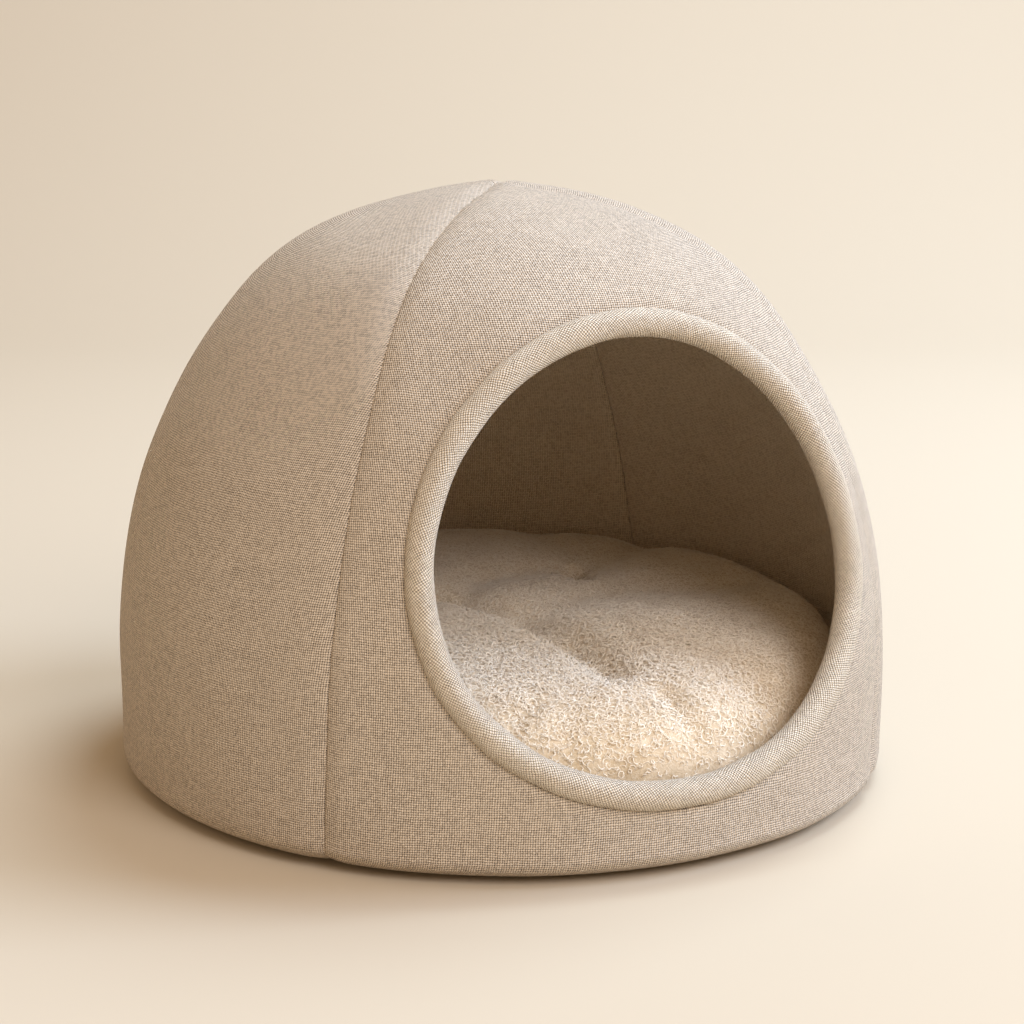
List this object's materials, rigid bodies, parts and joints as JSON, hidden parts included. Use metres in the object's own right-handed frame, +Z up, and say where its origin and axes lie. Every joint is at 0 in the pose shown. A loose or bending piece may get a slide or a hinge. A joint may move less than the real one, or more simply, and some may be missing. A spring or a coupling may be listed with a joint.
{
  "type": "linen cat cave bed",
  "caption": "Padded linen cat cave bed: a domed shell of sewn gores with a rolled round opening, a flat base and a filled fleece cushion inside.",
  "frame": {"origin": "on the floor, under the top of the dome", "axes": "+Z up, the opening faces -Y, +X to the right of someone looking into the opening"},
  "size_m": [0.4386, 0.4643, 0.3334],
  "materials": {
    "linen_outer": "coarse plain-woven oat linen, matt",
    "linen_binding": "the same linen wrapped over a soft core, cut across the thread",
    "base_canvas": "plain canvas, matt",
    "fleece": "cream curly pile fleece"
  },
  "bodies": {
    "root": {"front_panel": "linen_outer", "left_side_panel": "linen_outer", "right_side_panel": "linen_outer", "back_panel": "linen_outer", "opening_roll": "linen_binding", "base_panel": "base_canvas", "cushion": "fleece"}
  },
  "joints": []
}
